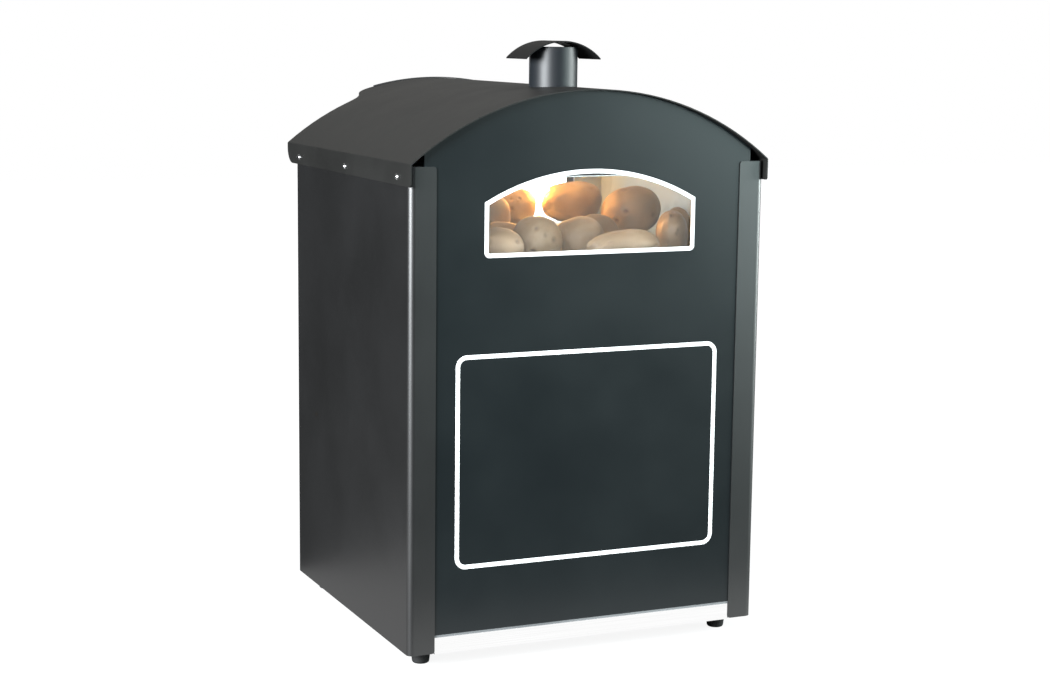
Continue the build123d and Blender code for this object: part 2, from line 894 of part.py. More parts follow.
def wire_shelf(ledge):
    """Welded wire shelf: a round border with cross wires."""
    half = cavity_half_width - runner_sheet - shelf_side_gap - shelf_wire_radius
    z = ledge + shelf_wire_radius + seat_gap
    y0 = cavity_front + shelf_end_gap + shelf_wire_radius
    y1 = frame_back - shelf_end_gap - shelf_wire_radius
    shelf = round_across(-half, half, y0, z, shelf_wire_radius) + round_across(
        -half, half, y1, z, shelf_wire_radius
    )
    for x in (-half, half):
        shelf = shelf + round_back(x, y0, y1, z, shelf_wire_radius)
        for y in (y0, y1):
            shelf = shelf + Pos(x, y, z) * Sphere(shelf_wire_radius)
    step = 2 * half / (shelf_bar_count + 1)
    for i in range(1, shelf_bar_count + 1):
        shelf = shelf + round_back(-half + step * i, y0, y1, z, shelf_bar_radius)
    return shelf


# ---- Display ----
def display_floor():
    """Sheet floor of the display, on top of the oven's insulation."""
    floor = block(
        -display_half_width,
        display_half_width,
        panel_back + display_front_gap,
        frame_back,
        insulation_top,
        display_floor_top,
    )
    return floor


def display_liner():
    """Folded bright sheet: both side walls and the ceiling of the display."""
    y0 = panel_back + display_front_gap
    outer = block(
        -display_half_width, display_half_width, y0, frame_back, display_floor_top, display_ceiling
    )
    inner = block(
        -display_half_width + display_sheet,
        display_half_width - display_sheet,
        y0 - 1,
        frame_back + 1,
        display_floor_top - 1,
        display_ceiling - display_sheet,
    )
    vent = round_up(0, pipe_y, display_floor_top, display_ceiling + 1, pipe_radius)
    x, y = lamp_x, frame_back - lamp_rear_inset
    socket_hole = round_up(x, y, display_floor_top, display_ceiling + 1, lamp_cap_radius + fit_gap)
    return outer - inner - vent - socket_hole


def display_rack():
    """Stepped stand that raises the rear rows."""
    base = display_floor_top
    y0 = front + rack_front
    y1 = y0 + rack_first_tread
    y2 = y1 + rack_second_tread
    z1 = base + rack_first_height
    z2 = z1 + rack_second_rise
    t = display_sheet
    outline = Polyline(
        (y0, base),
        (y0, z1),
        (y1, z1),
        (y1, z2),
        (y2, z2),
        (y2, base),
        (y2 - t, base),
        (y2 - t, z2 - t),
        (y1 + t, z2 - t),
        (y1 + t, z1 - t),
        (y0 + t, z1 - t),
        (y0 + t, base),
        close=True,
    )
    face = make_face(Plane.YZ * outline)
    rack = extrude(face, amount=rack_right - rack_left)
    return Pos(rack_left - rack.bounding_box().min.X, 0, 0) * rack


def lamp_holder():
    """Round lamp socket on the display ceiling."""
    x, y = lamp_x, frame_back - lamp_rear_inset
    top = display_ceiling + lamp_holder_height
    body = round_up(x, y, display_ceiling, top, lamp_holder_radius)
    socket = round_up(x, y, display_ceiling - 1, display_ceiling + lamp_cap_length, lamp_cap_radius)
    return body - socket


def lamp_bulb():
    """Round bulb with its cap up in the socket."""
    x, y = lamp_x, frame_back - lamp_rear_inset
    centre = display_ceiling - lamp_bulb_drop
    ball = Pos(x, y, centre) * Sphere(lamp_bulb_radius)
    top = display_ceiling + lamp_cap_length - seat_gap
    neck = round_up(x, y, centre, top, lamp_cap_radius - fit_gap)
    return ball + neck


# Each potato: X, distance behind the front, floor height above the display floor,
# half length, half width, half height, turn about Z and tilt.
rack_low = rack_first_height
rack_high = rack_first_height + rack_second_rise
front_potatoes = [
    (-172, 86, 0, 42, 29, 30, 75, 0),
    (-112, 46, 0, 34, 27, 28, 10, 0),
    (-38, 94, 0, 40, 28, 32, 30, 0),
    (33, 114, 0, 34, 29, 30, -8, 0),
    (67, 46, 0, 54, 24, 24, 6, 0),
    (171, 106, 0, 30, 22, 32, 68, 0),
    (-62, 154, 0, 34, 19, 26, 10, 0),
    (86, 160, 0, 33, 15, 29, 5, 0),
    (208, 158, 0, 26, 17, 32, 85, 0),
]
rear_potatoes = [
    (-146, 208, rack_low, 42, 30, 30, 15, 0),
    (-57, 208, rack_low, 34, 27, 32, 40, 0),
    (162, 209, rack_low, 46, 34, 34, 18, -12),
    (-78, 282, rack_high, 42, 30, 28, 15, 0),
    (17, 280, rack_high, 30, 26, 25, 40, 0),
    (100, 282, rack_high, 50, 31, 29, 18, 0),
]


def potato(x, behind, raised, half_length, half_width, half_height, turn, tilt):
    """A potato resting on its tier."""
    tilt_rise = hypot(half_length * sin(radians(tilt)), half_height * cos(radians(tilt)))
    z = display_floor_top + raised + tilt_rise + seat_gap
    shape = scale(Sphere(1), by=(half_length, half_width, half_height))
    return Pos(x, front + behind, z) * Rot(0, 0, turn) * Rot(0, tilt, 0) * shape


# ---- Doors ----
def door_block(y0, y1, z0, z1):
    """A door-wide block."""
    return block(-door_half_width, door_half_width, y0, y1, z0, z1)


def oven_door_skin():
    """Outer pan of the oven door with folded sides."""
    skin = door_block(oven_door_inner + door_skin, oven_door_outer, oven_door_bottom, oven_door_top)
    skin = fillet(skin.edges().filter_by(Axis.Y), 3)
    rim = skin.faces().sort_by(Axis.Y)[-1].edges()
    skin = fillet(rim, 2)
    hollow = block(
        -door_half_width + door_skin,
        door_half_width - door_skin,
        oven_door_inner,
        oven_door_outer - door_skin,
        oven_door_bottom + door_skin,
        oven_door_top - door_skin,
    )
    return fillet_free_cut(skin, hollow)


def fillet_free_cut(body, tool):
    """Cut with slightly rounded tool corners, as a folded pan has inside."""
    tool = fillet(tool.edges().filter_by(Axis.Y), 2)
    return body - tool


def oven_door_liner():
    """Flat inner sheet that closes the door pan."""
    liner = door_block(oven_door_inner, oven_door_inner + door_skin, oven_door_bottom, oven_door_top)
    return fillet(liner.edges().filter_by(Axis.Y), 3)


def oven_door_insulation():
    """Mineral wool board inside the door."""
    gap = door_skin + fit_gap
    board = block(
        -door_half_width + gap,
        door_half_width - gap,
        oven_door_inner + door_skin,
        oven_door_outer - door_skin,
        oven_door_bottom + gap,
        oven_door_top - gap,
    )
    return fillet(board.edges().filter_by(Axis.Y), 2)


def seal_ring(y0, y1, half_width, z0, z1):
    """Rectangular soft seal round an opening."""
    near = seal_margin
    inner = block(-half_width - near, half_width + near, y0 - 1, y1 + 1, z0 - near, z1 + near)
    reach = seal_margin + seal_width
    outer = block(-half_width - reach, half_width + reach, y0, y1, z0 - reach, z1 + reach)
    outer = fillet(outer.edges().filter_by(Axis.Y), 6)
    return outer - inner


def handle(x, z, face, bar_radius, length, post_radius, reach):
    """Bar handle on two posts."""
    y = face + reach
    bar = round_up(x, y, z - length / 2, z + length / 2, bar_radius)
    bar = fillet(bar.edges(), bar_radius * 0.4)
    for side in (-1, 1):
        post_z = z + side * (length / 2 - bar_radius * 2.5)
        bar = bar + round_back(x, face, y, post_z, post_radius)
    return bar


def display_door_frame():
    """Door frame with a rebate for the glass."""
    body = door_block(display_door_inner, display_door_outer, display_door_bottom, display_door_top)
    body = fillet(body.edges().filter_by(Axis.Y), 3)
    rail = display_door_rail
    hole = block(
        -door_half_width + rail,
        door_half_width - rail,
        display_door_inner - 1,
        display_door_outer + 1,
        display_door_bottom + rail / 2,
        display_door_top - rail / 2,
    )
    return body - hole - glass_block(0)


def glass_block(gap):
    """The glass of the display door, or its rebate."""
    rail = display_door_rail - glass_lap
    y0 = display_door_inner
    lap = display_door_rail / 2 - glass_lap
    return block(
        -door_half_width + rail + gap,
        door_half_width - rail - gap,
        y0,
        y0 + glass_thickness + display_sheet - gap * 4,
        display_door_bottom + lap + gap,
        display_door_top - lap - gap,
    )


def hinge_places(bottom, top, inset):
    """Z of the middles of a door's two hinges."""
    return [bottom + inset, top - inset]


def fixed_leaf(z):
    """Leaf on the rear return with the upper and lower knuckles."""
    y0 = rear
    half = hinge_knuckle * 1.5
    leaf = block(hinge_leaf_outer_x, hinge_pin_x, y0, y0 + hinge_leaf, z - half, z + half)
    bore = round_up(hinge_pin_x, hinge_y, z - half - 1, z + half + 1, hinge_pin_radius)
    for side in (-1, 1):
        z0 = z + side * hinge_knuckle - hinge_knuckle / 2
        z1 = z0 + hinge_knuckle
        web = block(hinge_pin_x - 4, hinge_pin_x + 2, y0, hinge_y, z0, z1)
        leaf = leaf + round_up(hinge_pin_x, hinge_y, z0, z1, hinge_barrel_radius) + web
    cut = block(
        hinge_pin_x - hinge_barrel_radius - 1.5,
        hinge_pin_x + hinge_barrel_radius,
        y0 - 1,
        y0 + hinge_leaf + 1,
        z - hinge_knuckle / 2,
        z + hinge_knuckle / 2,
    )
    return leaf - bore - cut


def moving_leaf(z, y_end):
    """Leaf on the door's edge with the middle knuckle."""
    half = hinge_knuckle / 2 - hinge_knuckle_gap
    tall = hinge_knuckle * 1.5
    edge = -door_half_width
    y0 = hinge_y + hinge_barrel_radius + fit_gap
    leaf = block(edge - hinge_leaf, edge, y0, y_end, z - tall, z + tall)
    neck = block(edge - hinge_leaf, edge, hinge_y, y0 + 1, z - half, z + half)
    barrel = round_up(hinge_pin_x, hinge_y, z - half, z + half, hinge_barrel_radius)
    web = block(hinge_pin_x, edge - hinge_leaf / 2, hinge_y, hinge_y + 4, z - half, z + half)
    bore = round_up(hinge_pin_x, hinge_y, z - half - 1, z + half + 1, hinge_pin_radius + hinge_pin_gap)
    return leaf + neck + barrel + web - bore


def hinge_pins(places):
    """Pins pressed into the fixed knuckles, each with a small head."""
    pins = []
    for z in places:
        half = hinge_knuckle * 1.5
        pin = round_up(hinge_pin_x, hinge_y, z - half, z + half, hinge_pin_radius)
        head = round_up(hinge_pin_x, hinge_y, z + half, z + half + 1.5, hinge_pin_radius + 1.5)
        pins.append(pin + head)
    return pins


def door_magnets():
    """Magnetic catches on the rear frame, one block for each door."""
    catches = []
    x0 = door_half_width - magnet_width
    for z, depth in (
        ((oven_door_bottom + oven_door_top) / 2, oven_seal_thickness),
        ((display_door_bottom + display_door_top) / 2, display_seal_thickness),
    ):
        half = magnet_height / 2
        catches.append(block(x0, door_half_width, frame_face, frame_face + depth, z - half, z + half))
    return group(catches)


# ---- Build every node ----
save(side_panel(-1), "side_panel_left")
save(side_panel(1), "side_panel_right")
save(base_pan(), "base_pan")
save(plinth_strip(), "plinth_strip")
save(panel_bottom_trim(), "panel_bottom_trim")
save(front_panel(), "front_panel")
save(window_pane(), "window_pane")
save(window_retainer(), "window_retainer")
save(group([window_outline(), board_outline()]), "white_outlines")
save(roof(), "roof")
save(hood_edge_trim(), "hood_edge_trim")
save(roof_screws(), "roof_screws")
save(chimney_pipe(), "chimney_pipe")
save(chimney_hat(), "chimney_hat")

for (x, y), name in zip(foot_places(), ("front_left", "front_right", "rear_left", "rear_right")):
    save(foot(x, y), "foot_" + name)
save(foot_screws(), "foot_screws")

save(rear_frame(), "rear_frame")
save(control_panel(), "control_panel")
save(panel_screws(), "panel_screws")
save(knob(thermostat_x), "thermostat_knob")
save(knob(timer_x), "timer_knob")
save(control_body(thermostat_x, thermostat_size, thermostat_depth), "thermostat_body")
save(control_body(timer_x, timer_size, timer_depth), "timer_body")
save(group([rocker_housing(oven_switch_x), rocker_housing(light_switch_x)]), "rocker_housings")
save(rocker(oven_switch_x), "oven_rocker")
save(rocker(light_switch_x), "light_rocker")
save(indicator_lamps(), "indicator_lamps")
save(cable_gland(), "cable_gland")

save(oven_liner(), "oven_liner")
save(oven_insulation(), "oven_insulation")
save(oven_bearers(), "oven_bearers")
save(heating_elements(), "heating_elements")
save(shelf_runner(-1), "shelf_runner_left")
save(shelf_runner(1), "shelf_runner_right")
for height, name in zip(shelf_heights(), ("lower", "middle", "upper")):
    save(wire_shelf(height), "wire_shelf_" + name)

save(display_floor(), "display_floor")
save(display_liner(), "display_liner")
save(display_rack(), "display_rack")
save(lamp_holder(), "lamp_holder")
save(lamp_bulb(), "lamp_bulb")
save(group([potato(*p) for p in front_potatoes + rear_potatoes]), "display_potatoes")

save(oven_door_skin(), "oven_door_skin")
save(oven_door_liner(), "oven_door_liner")
save(oven_door_insulation(), "oven_door_insulation")
oven_seal = seal_ring(frame_face, oven_door_inner, cavity_half_width, cavity_bottom, cavity_top)
save(oven_seal, "oven_door_seal")
oven_door_middle = (oven_door_bottom + oven_door_top) / 2
save(
    handle(
        handle_x,
        oven_door_middle,
        oven_door_outer,
        handle_bar_radius,
        handle_bar_length,
        handle_post_radius,
        handle_reach,
    ),
    "oven_door_handle",
)
oven_hinges = hinge_places(oven_door_bottom, oven_door_top, hinge_inset)
save(group([moving_leaf(z, oven_door_outer - 4) for z in oven_hinges]), "oven_door_hinges")

save(display_door_frame(), "display_door_frame")
save(glass_block(fit_gap), "display_door_glass")
save(
    seal_ring(
        frame_face,
        display_door_inner,
        display_opening_half_width,
        display_opening_bottom,
        display_opening_top,
    ),
    "display_door_seal",
)
display_door_middle = (display_door_bottom + display_door_top) / 2
save(
    handle(
        display_handle_x,
        display_door_middle,
        display_door_outer,
        display_handle_bar_radius,
        display_handle_bar_length,
        display_handle_post_radius,
        display_handle_reach,
    ),
    "display_door_handle",
)
display_hinges = hinge_places(display_door_bottom, display_door_top, display_hinge_inset)
save(group([moving_leaf(z, display_door_outer - 1) for z in display_hinges]), "display_door_hinges")

save(group([fixed_leaf(z) for z in oven_hinges + display_hinges]), "hinge_leaves")
save(group(hinge_pins(oven_hinges + display_hinges)), "hinge_pins")
save(door_magnets(), "door_magnets")
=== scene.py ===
import random
from math import pi, radians, sin

import bpy
from mathutils import Euler, Matrix, Vector, noise


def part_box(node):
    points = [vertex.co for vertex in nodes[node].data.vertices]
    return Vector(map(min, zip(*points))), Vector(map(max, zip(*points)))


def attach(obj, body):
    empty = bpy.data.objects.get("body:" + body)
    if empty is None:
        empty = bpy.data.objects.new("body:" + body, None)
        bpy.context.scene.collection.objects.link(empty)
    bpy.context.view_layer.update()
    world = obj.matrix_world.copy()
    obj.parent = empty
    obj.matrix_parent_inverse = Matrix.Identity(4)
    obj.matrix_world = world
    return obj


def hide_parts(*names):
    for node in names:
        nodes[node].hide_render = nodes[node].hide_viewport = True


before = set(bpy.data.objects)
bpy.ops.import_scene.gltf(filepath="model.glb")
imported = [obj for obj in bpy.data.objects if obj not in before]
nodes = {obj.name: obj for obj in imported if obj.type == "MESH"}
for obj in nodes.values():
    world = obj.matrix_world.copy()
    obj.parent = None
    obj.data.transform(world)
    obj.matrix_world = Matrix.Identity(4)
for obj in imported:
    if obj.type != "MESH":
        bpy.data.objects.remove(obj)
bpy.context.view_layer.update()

bpy.ops.object.select_all(action="DESELECT")


# ---------------------------------------------------------------- Camera
# A long lens stands to the left of the customer's side, a little above the roof's eaves.
lens_mm = 69.4
sensor_mm = 36.0
camera_turn = radians(-24.07)
camera_drop = radians(8.99)
camera_roll = radians(0.66)
camera_place = Vector((-1.12845, -2.5890, 0.80985))

bpy.ops.object.camera_add()
camera = bpy.context.object
camera.name = "camera"
camera.data.lens = lens_mm
camera.data.sensor_width = sensor_mm
camera.matrix_world = (
    Matrix.Translation(camera_place)
    @ Matrix.Rotation(camera_turn, 4, "Z")
    @ Matrix.Rotation(pi / 2 - camera_drop, 4, "X")
    @ Matrix.Rotation(camera_roll, 4, "Z")
)
bpy.context.scene.camera = camera
bpy.context.scene.view_settings.view_transform = "Standard"


# ---------------------------------------------------------------- Studio
# A pale floor in a white surround, cards that only shiny finishes mirror, and soft boxes: one
# each side that draws a corner, and weaker ones for the front, the roof and the rear face.
floor_half = 8.0
floor_seen = (0.50, 0.50, 0.50, 1)
floor_mirrored = (0.03, 0.03, 0.03, 1)
floor_glow = 1.10
floor_glow_behind_glass = 2.4
floor_glow_share = 0.82
shadow_reach = (0.7, 1.5)
surround_light = (0.92, 0.96, 1.0, 1)
surround_strength = 0.45
surround_mirrored = 0.055
surround_behind_glass = 2.6
card_height = 0.001
cards = [
    ("front_card", (-0.27, 0.385, -0.480, -0.26), 1.12),
    ("side_card", (-1.05, -0.24, -0.34, 0.26), 0.55),
    ("rear_card", (-0.25, 0.90, 0.30, 1.70), 0.30),
]
soft_boxes = [
    ("left_box", (-2.20, -1.10, 1.05), (-0.25, -0.25, 0.55), (1.3, 0.9), 270, (0.93, 0.97, 1.0)),
    ("right_side_box", (2.36, -0.92, 0.82), (0.25, -0.25, 0.50), (1.0, 1.0), 105, (0.90, 0.99, 0.98)),
    ("right_front_box", (1.74, -2.10, 0.98), (0.15, -0.27, 0.50), (0.95, 1.1), 36, (0.77, 0.98, 0.98)),
    ("front_fill", (-0.85, -2.60, 1.25), (0.0, -0.2, 0.5), (0.8, 0.8), 6, (0.84, 0.96, 1.0)),
    ("top_box", (0.35, -0.15, 2.7), (0.0, 0.0, 0.6), (1.8, 1.8), 21, (1.0, 0.98, 0.94)),
    ("rear_box", (0.35, 2.70, 1.95), (0.0, 0.0, 0.7), (2.4, 1.2), 6, (1.0, 0.98, 0.93)),
    ("low_rear_box", (0.70, 2.30, 0.42), (0.0, 0.2, 0.35), (2.2, 0.7), 9, (0.97, 0.99, 1.0)),
]

bpy.ops.mesh.primitive_plane_add(size=2 * floor_half, location=(0, 0, 0))
floor = bpy.context.object
floor.name = "floor"


def start_material(name):
    """A new node material: returns it with its node tree and its Principled node."""
    material = bpy.data.materials.new(name)
    material.use_nodes = True
    tree = material.node_tree
    return material, tree, tree.nodes["Principled BSDF"]


def paint(obj, material):
    """Gives an object one material in place of what it has."""
    obj.data.materials.clear()
    obj.data.materials.append(material)


def blend_colours(tree, mask, first, second):
    """A colour that goes from first to second with a mask."""
    mix = tree.nodes.new("ShaderNodeMix")
    mix.data_type = "RGBA"
    mix.inputs[6].default_value = first
    mix.inputs[7].default_value = second
    tree.links.new(mask, mix.inputs["Factor"])
    return mix.outputs[2]


def calculate(tree, operation, *values):
    """A math node on sockets or numbers."""
    node = tree.nodes.new("ShaderNodeMath")
    node.operation = operation
    for socket, value in zip(node.inputs, values):
        if isinstance(value, (int, float)):
            socket.default_value = value
        else:
            tree.links.new(value, socket)
    return node.outputs[0]


def map_range(tree, value, low, high, from_low=0.0, from_high=1.0):
    """Maps a value's range, from_low to from_high, onto low to high."""
    node = tree.nodes.new("ShaderNodeMapRange")
    node.inputs["From Min"].default_value = from_low
    node.inputs["From Max"].default_value = from_high
    node.inputs["To Min"].default_value = low
    node.inputs["To Max"].default_value = high
    tree.links.new(value, node.inputs["Value"])
    return node.outputs["Result"]


def place(tree):
    """The surface point in the oven's own metres."""
    return tree.nodes.new("ShaderNodeTexCoord").outputs["Object"]


def mix_shaders(tree, share, first, second):
    """A shader that goes from first to second with a share."""
    mix = tree.nodes.new("ShaderNodeMixShader")
    tree.links.new(share, mix.inputs["Fac"])
    tree.links.new(first, mix.inputs[1])
    tree.links.new(second, mix.inputs[2])
    return mix.outputs[0]


def studio_floor():
    """Pale matt floor that keeps the oven's shadow and goes out to white in the camera."""
    material, tree, skin = start_material("studio_floor")
    skin.inputs["Roughness"].default_value = 0.9
    skin.inputs["Specular IOR Level"].default_value = 0.1
    glow = tree.nodes.new("ShaderNodeEmission")
    glow.inputs["Color"].default_value = (1, 1, 1, 1)
    path = tree.nodes.new("ShaderNodeLightPath").outputs
    behind_glass = path["Is Transmission Ray"]
    straight = calculate(tree, "MAXIMUM", path["Is Camera Ray"], behind_glass)
    strength = map_range(tree, behind_glass, floor_glow, floor_glow_behind_glass)
    tree.links.new(strength, glow.inputs["Strength"])
    tone = blend_colours(tree, straight, floor_mirrored, floor_seen)
    tree.links.new(tone, skin.inputs["Base Color"])
    away = tree.nodes.new("ShaderNodeVectorMath")
    away.operation = "LENGTH"
    tree.links.new(place(tree), away.inputs[0])
    fade = map_range(tree, away.outputs["Value"], floor_glow_share, 1.0, *shadow_reach)
    share = calculate(tree, "MULTIPLY", straight, fade)
    surface = mix_shaders(tree, share, skin.outputs[0], glow.outputs[0])
    tree.links.new(surface, tree.nodes["Material Output"].inputs["Surface"])
    return material


paint(floor, studio_floor())


def white_card(name, edges, strength):
    """A white card on the floor between those X and Y edges, seen only in shiny finishes."""
    x0, x1, y0, y1 = edges
    middle = ((x0 + x1) / 2, (y0 + y1) / 2, card_height)
    bpy.ops.mesh.primitive_plane_add(size=1, location=middle)
    card = bpy.context.object
    card.name = name
    card.scale = (x1 - x0, y1 - y0, 1)
    card.visible_camera = False
    card.visible_diffuse = False
    card.visible_shadow = False
    material, tree, _ = start_material(name)
    glow = tree.nodes.new("ShaderNodeEmission")
    glow.inputs["Strength"].default_value = strength
    tree.links.new(glow.outputs[0], tree.nodes["Material Output"].inputs["Surface"])
    paint(card, material)


for name, edges, glow in cards:
    white_card(name, edges, glow)


def surround():
    """White to the camera and through glass, pale to matt faces, dim to shiny ones."""
    world = bpy.data.worlds.new("surround")
    world.use_nodes = True
    sky = world.node_tree
    path = sky.nodes.new("ShaderNodeLightPath").outputs
    behind_glass = path["Is Transmission Ray"]
    seen = sky.nodes["Background"]
    seen.inputs["Color"].default_value = (1, 1, 1, 1)
    strength_seen = map_range(sky, behind_glass, 1.0, surround_behind_glass)
    sky.links.new(strength_seen, seen.inputs["Strength"])
    lights = []
    for strength in (surround_strength, surround_mirrored):
        light = sky.nodes.new("ShaderNodeBackground")
        light.inputs["Color"].default_value = surround_light
        light.inputs["Strength"].default_value = strength
        lights.append(light.outputs[0])
    unseen = mix_shaders(sky, path["Is Glossy Ray"], *lights)
    straight = calculate(sky, "MAXIMUM", path["Is Camera Ray"], behind_glass)
    either = mix_shaders(sky, straight, unseen, seen.outputs[0])
    sky.links.new(either, sky.nodes["World Output"].inputs["Surface"])
    return world


bpy.context.scene.world = surround()


def soft_box(name, stand, aim, size, power, colour):
    """A rectangular lamp at its stand, aimed at a point; the camera doesn't see it."""
    bpy.ops.object.light_add(type="AREA")
    lamp = bpy.context.object
    lamp.name = name
    lamp.data.shape = "RECTANGLE"
    lamp.data.size = size[0]
    lamp.data.size_y = size[1]
    lamp.data.energy = power
    lamp.data.color = colour
    lamp.visible_camera = False
    towards = Vector(aim) - Vector(stand)
    turned = towards.to_track_quat("-Z", "Y").to_matrix().to_4x4()
    lamp.matrix_world = Matrix.Translation(stand) @ turned


for box in soft_boxes:
    soft_box(*box)


# ---------------------------------------------------------------- Side panels
# Two mild steel sheets, folded round the front corners and powder coated black with a fine
# grain. They carry the roof on three screws a side.
casing_dark = (0.0018, 0.0018, 0.0018, 1)
casing_light = (0.0030, 0.0030, 0.0031, 1)
casing_grain = 1050.0
cloud_scale = 9.0
coated_edge = 0.0004
rounded_from = radians(50)
noise_low = 0.3
noise_high = 0.7


def noise_value(tree, where, scale, detail=2.0, roughness=0.5):
    """The value of a noise texture at a point."""
    node = tree.nodes.new("ShaderNodeTexNoise")
    node.inputs["Scale"].default_value = scale
    node.inputs["Detail"].default_value = detail
    node.inputs["Roughness"].default_value = roughness
    tree.links.new(where, node.inputs["Vector"])
    return node.outputs["Fac"]


def grain_group():
    """Fine grain of a sprayed coat: a height for bump, and a soft cloud of thicker patches."""
    group = bpy.data.node_groups.new("sprayed_grain", "ShaderNodeTree")
    face = group.interface
    face.new_socket("Vector", in_out="INPUT", socket_type="NodeSocketVector")
    face.new_socket("Grain", in_out="INPUT", socket_type="NodeSocketFloat")
    face.new_socket("Height", in_out="OUTPUT", socket_type="NodeSocketFloat")
    face.new_socket("Cloud", in_out="OUTPUT", socket_type="NodeSocketFloat")
    inward = group.nodes.new("NodeGroupInput")
    outward = group.nodes.new("NodeGroupOutput")
    fine = noise_value(group, inward.outputs["Vector"], casing_grain, 3.0, 0.55)
    cloud = noise_value(group, inward.outputs["Vector"], cloud_scale, 4.0)
    group.links.new(inward.outputs["Grain"], fine.node.inputs["Scale"])
    group.links.new(fine, outward.inputs["Height"])
    group.links.new(cloud, outward.inputs["Cloud"])
    return group


sprayed_grain = grain_group()


def spread(tree, value, low, high):
    """Maps the range that most of a noise value keeps to, onto low to high."""
    return map_range(tree, value, low, high, noise_low, noise_high)


def raise_surface(tree, skin, height, strength, depth):
    """Bump from a height, in metres of depth."""
    bump = tree.nodes.new("ShaderNodeBump")
    bump.inputs["Strength"].default_value = strength
    bump.inputs["Distance"].default_value = depth
    tree.links.new(height, bump.inputs["Height"])
    tree.links.new(bump.outputs["Normal"], skin.inputs["Normal"])


def sprayed_coat(name, dark, light, grain, rough, shine, bump_strength, bump_depth):
    """A coat or moulding with its own two tones, grain, roughness range and sheen."""
    material, tree, skin = start_material(name)
    coat = tree.nodes.new("ShaderNodeGroup")
    coat.node_tree = sprayed_grain
    coat.inputs["Grain"].default_value = grain
    tree.links.new(place(tree), coat.inputs["Vector"])
    mask = spread(tree, coat.outputs["Cloud"], 0.0, 1.0)
    tree.links.new(blend_colours(tree, mask, dark, light), skin.inputs["Base Color"])
    tree.links.new(spread(tree, coat.outputs["Cloud"], *rough), skin.inputs["Roughness"])
    skin.inputs["Specular IOR Level"].default_value = shine
    raise_surface(tree, skin, coat.outputs["Height"], bump_strength, bump_depth)
    return material


def break_edges(obj):
    """Rounds a sheet's cut edges a little, as the thickness of the coat does."""
    edge = obj.modifiers.new("coated_edge", "BEVEL")
    edge.width = coated_edge
    edge.segments = 2
    edge.limit_method = "ANGLE"
    edge.angle_limit = rounded_from
    edge.harden_normals = True


casing_paint = sprayed_coat(
    "casing_paint", casing_dark, casing_light, casing_grain, (0.395, 0.425), 0.90, 0.12, 0.0003
)
for name in ("side_panel_left", "side_panel_right"):
    paint(nodes[name], casing_paint)
    break_edges(nodes[name])


# ---------------------------------------------------------------- Base and feet
# Galvanised tray and channels inside, and four tapered rubber bumpers screwed up into the
# tray with plated screws. The trim on the hood's rear edge is rubber too.
zinc_dull = (0.38, 0.39, 0.40, 1)
zinc_bright = (0.56, 0.57, 0.58, 1)
rubber_dark = (0.008, 0.008, 0.008, 1)
rubber_grey = (0.016, 0.016, 0.016, 1)
plated_bright = (0.86, 0.87, 0.87, 1)
spangle_scale = 90.0
haze_scale = 240.0


def spangled_zinc():
    """Galvanised sheet with its crystal pattern."""
    material, tree, skin = start_material("spangled_zinc")
    cells = tree.nodes.new("ShaderNodeTexVoronoi")
    cells.inputs["Scale"].default_value = spangle_scale
    tree.links.new(place(tree), cells.inputs["Vector"])
    grey = tree.nodes.new("ShaderNodeSeparateColor")
    tree.links.new(cells.outputs["Color"], grey.inputs[0])
    colour = blend_colours(tree, grey.outputs[0], zinc_dull, zinc_bright)
    tree.links.new(colour, skin.inputs["Base Color"])
    tree.links.new(spread(tree, grey.outputs[1], 0.32, 0.46), skin.inputs["Roughness"])
    skin.inputs["Metallic"].default_value = 1.0
    return material


zinc = spangled_zinc()
for name in ("base_pan", "oven_bearers", "window_retainer"):
    paint(nodes[name], zinc)

rubber = sprayed_coat(
    "foot_rubber", rubber_dark, rubber_grey, 1600.0, (0.62, 0.78), 0.35, 0.25, 0.0003
)
for name in (
    "foot_front_left",
    "foot_front_right",
    "foot_rear_left",
    "foot_rear_right",
    "hood_edge_trim",
):
    paint(nodes[name], rubber)


def bright_plate(name, tint, rough):
    """Plated metal: fine haze over a bright ground."""
    material, tree, skin = start_material(name)
    haze = noise_value(tree, place(tree), haze_scale, 4.0)
    darker = tuple(c * 0.82 for c in tint[:3]) + (1,)
    colour = blend_colours(tree, haze, darker, tint)
    tree.links.new(colour, skin.inputs["Base Color"])
    tree.links.new(spread(tree, haze, *rough), skin.inputs["Roughness"])
    skin.inputs["Metallic"].default_value = 1.0
    return material


bright_zinc = bright_plate("bright_zinc", plated_bright, (0.12, 0.24))
for name in ("foot_screws", "roof_screws", "panel_screws", "hinge_pins"):
    paint(nodes[name], bright_zinc)


# ---------------------------------------------------------------- Plinth and edge strip
# Mirror-polished stainless channel across the foot of the front, and the grey strip in
# which the front panel stands.
polished_tint = (0.93, 0.93, 0.93, 1)
strip_dark = (0.12, 0.125, 0.13, 1)
strip_light = (0.18, 0.185, 0.19, 1)
lines_along = 6.0
lines_across = 900.0


def brushed_sheet(name, tint, rough, along, streak_strength):
    """Stainless sheet with fine lines that run along one axis (0 for X, 1 for Y, 2 for Z)."""
    material, tree, skin = start_material(name)
    stretch = tree.nodes.new("ShaderNodeMapping")
    scale = [lines_along if axis == along else lines_across for axis in range(3)]
    stretch.inputs["Scale"].default_value = scale
    tree.links.new(place(tree), stretch.inputs["Vector"])
    lines = noise_value(tree, stretch.outputs["Vector"], 1.0, 5.0)
    darker = tuple(c * 0.86 for c in tint[:3]) + (1,)
    colour = blend_colours(tree, lines, darker, tint)
    tree.links.new(colour, skin.inputs["Base Color"])
    tree.links.new(spread(tree, lines, *rough), skin.inputs["Roughness"])
    skin.inputs["Metallic"].default_value = 1.0
    raise_surface(tree, skin, lines, streak_strength, 0.0001)
    return material


